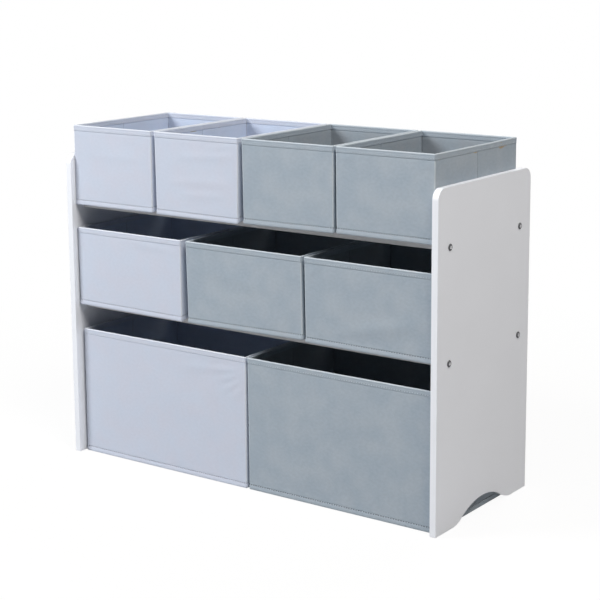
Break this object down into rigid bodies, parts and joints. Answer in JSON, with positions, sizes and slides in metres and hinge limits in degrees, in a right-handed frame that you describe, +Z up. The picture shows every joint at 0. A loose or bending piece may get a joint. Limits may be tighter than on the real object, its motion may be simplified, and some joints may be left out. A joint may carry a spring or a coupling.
{
  "type": "toy cabinet",
  "caption": "Open toy cabinet with white side panels, square cross bars and rows of light and grey fabric bins: small ones on the bars, large ones on the floor.",
  "frame": {"origin": "on the floor, at the middle of the cabinet's footprint", "axes": "+Z up; +X along the cabinet's width, to the right seen from the front; the front faces -Y"},
  "size_m": [0.8444, 0.322, 0.6563],
  "materials": {
    "panel_paint": "white satin paint on fibreboard",
    "bar_paint": "white powder coat",
    "plug_plastic": "moulded nylon",
    "screw_steel": "zinc plated",
    "light_fabric": "pale lavender grey non-woven felt",
    "grey_fabric": "blue grey non-woven felt",
    "wall_board": "raw board",
    "base_board": "board faced with non-woven felt"
  },
  "bodies": {
    "cabinet": {"side_panel_left": "panel_paint", "side_panel_right": "panel_paint", "top_front_bar": "bar_paint", "top_back_bar": "bar_paint", "middle_front_bar": "bar_paint", "middle_back_bar": "bar_paint", "bar_end_plugs": "plug_plastic", "panel_screws": "screw_steel"},
    "top_bin_1": {"top_bin_1_cover": "light_fabric", "top_bin_1_rim_band": "light_fabric", "top_bin_1_wall_boards": "wall_board"},
    "top_bin_1_board": {"top_bin_1_base_board": "base_board"},
    "top_bin_2": {"top_bin_2_cover": "light_fabric", "top_bin_2_rim_band": "light_fabric", "top_bin_2_wall_boards": "wall_board"},
    "top_bin_2_board": {"top_bin_2_base_board": "base_board"},
    "top_bin_3": {"top_bin_3_cover": "grey_fabric", "top_bin_3_rim_band": "grey_fabric", "top_bin_3_wall_boards": "wall_board"},
    "top_bin_3_board": {"top_bin_3_base_board": "base_board"},
    "top_bin_4": {"top_bin_4_cover": "grey_fabric", "top_bin_4_rim_band": "grey_fabric", "top_bin_4_wall_boards": "wall_board"},
    "top_bin_4_board": {"top_bin_4_base_board": "base_board"},
    "middle_bin_1": {"middle_bin_1_cover": "light_fabric", "middle_bin_1_rim_band": "light_fabric", "middle_bin_1_wall_boards": "wall_board"},
    "middle_bin_1_board": {"middle_bin_1_base_board": "base_board"},
    "middle_bin_2": {"middle_bin_2_cover": "grey_fabric", "middle_bin_2_rim_band": "grey_fabric", "middle_bin_2_wall_boards": "wall_board"},
    "middle_bin_2_board": {"middle_bin_2_base_board": "base_board"},
    "middle_bin_3": {"middle_bin_3_cover": "grey_fabric", "middle_bin_3_rim_band": "grey_fabric", "middle_bin_3_wall_boards": "wall_board"},
    "middle_bin_3_board": {"middle_bin_3_base_board": "base_board"},
    "bottom_bin_1": {"bottom_bin_1_cover": "light_fabric", "bottom_bin_1_rim_band": "light_fabric", "bottom_bin_1_wall_boards": "wall_board"},
    "bottom_bin_1_board": {"bottom_bin_1_base_board": "base_board"},
    "bottom_bin_2": {"bottom_bin_2_cover": "grey_fabric", "bottom_bin_2_rim_band": "grey_fabric", "bottom_bin_2_wall_boards": "wall_board"},
    "bottom_bin_2_board": {"bottom_bin_2_base_board": "base_board"}
  },
  "joints": [
    {"name": "top_bin_1_lift", "type": "slide", "parent": "cabinet", "child": "top_bin_1", "axis": [0, 0, 1], "range_m": [0, 0.16]},
    {"name": "top_bin_1_board_lift", "type": "slide", "parent": "top_bin_1", "child": "top_bin_1_board", "axis": [0, 0, 1], "range_m": [0, 0.15]},
    {"name": "top_bin_2_lift", "type": "slide", "parent": "cabinet", "child": "top_bin_2", "axis": [0, 0, 1], "range_m": [0, 0.16]},
    {"name": "top_bin_2_board_lift", "type": "slide", "parent": "top_bin_2", "child": "top_bin_2_board", "axis": [0, 0, 1], "range_m": [0, 0.15]},
    {"name": "top_bin_3_lift", "type": "slide", "parent": "cabinet", "child": "top_bin_3", "axis": [0, 0, 1], "range_m": [0, 0.16]},
    {"name": "top_bin_3_board_lift", "type": "slide", "parent": "top_bin_3", "child": "top_bin_3_board", "axis": [0, 0, 1], "range_m": [0, 0.15]},
    {"name": "top_bin_4_lift", "type": "slide", "parent": "cabinet", "child": "top_bin_4", "axis": [0, 0, 1], "range_m": [0, 0.16]},
    {"name": "top_bin_4_board_lift", "type": "slide", "parent": "top_bin_4", "child": "top_bin_4_board", "axis": [0, 0, 1], "range_m": [0, 0.15]},
    {"name": "middle_bin_1_pull", "type": "slide", "parent": "cabinet", "child": "middle_bin_1", "axis": [0, -1, 0], "range_m": [0, 0.3]},
    {"name": "middle_bin_1_board_lift", "type": "slide", "parent": "middle_bin_1", "child": "middle_bin_1_board", "axis": [0, 0, 1], "range_m": [0, 0.15]},
    {"name": "middle_bin_2_pull", "type": "slide", "parent": "cabinet", "child": "middle_bin_2", "axis": [0, -1, 0], "range_m": [0, 0.3]},
    {"name": "middle_bin_2_board_lift", "type": "slide", "parent": "middle_bin_2", "child": "middle_bin_2_board", "axis": [0, 0, 1], "range_m": [0, 0.15]},
    {"name": "middle_bin_3_pull", "type": "slide", "parent": "cabinet", "child": "middle_bin_3", "axis": [0, -1, 0], "range_m": [0, 0.3]},
    {"name": "middle_bin_3_board_lift", "type": "slide", "parent": "middle_bin_3", "child": "middle_bin_3_board", "axis": [0, 0, 1], "range_m": [0, 0.15]},
    {"name": "bottom_bin_1_pull", "type": "slide", "parent": "cabinet", "child": "bottom_bin_1", "axis": [0, -1, 0], "range_m": [0, 0.3]},
    {"name": "bottom_bin_1_board_lift", "type": "slide", "parent": "bottom_bin_1", "child": "bottom_bin_1_board", "axis": [0, 0, 1], "range_m": [0, 0.25]},
    {"name": "bottom_bin_2_pull", "type": "slide", "parent": "cabinet", "child": "bottom_bin_2", "axis": [0, -1, 0], "range_m": [0, 0.3]},
    {"name": "bottom_bin_2_board_lift", "type": "slide", "parent": "bottom_bin_2", "child": "bottom_bin_2_board", "axis": [0, 0, 1], "range_m": [0, 0.25]}
  ]
}
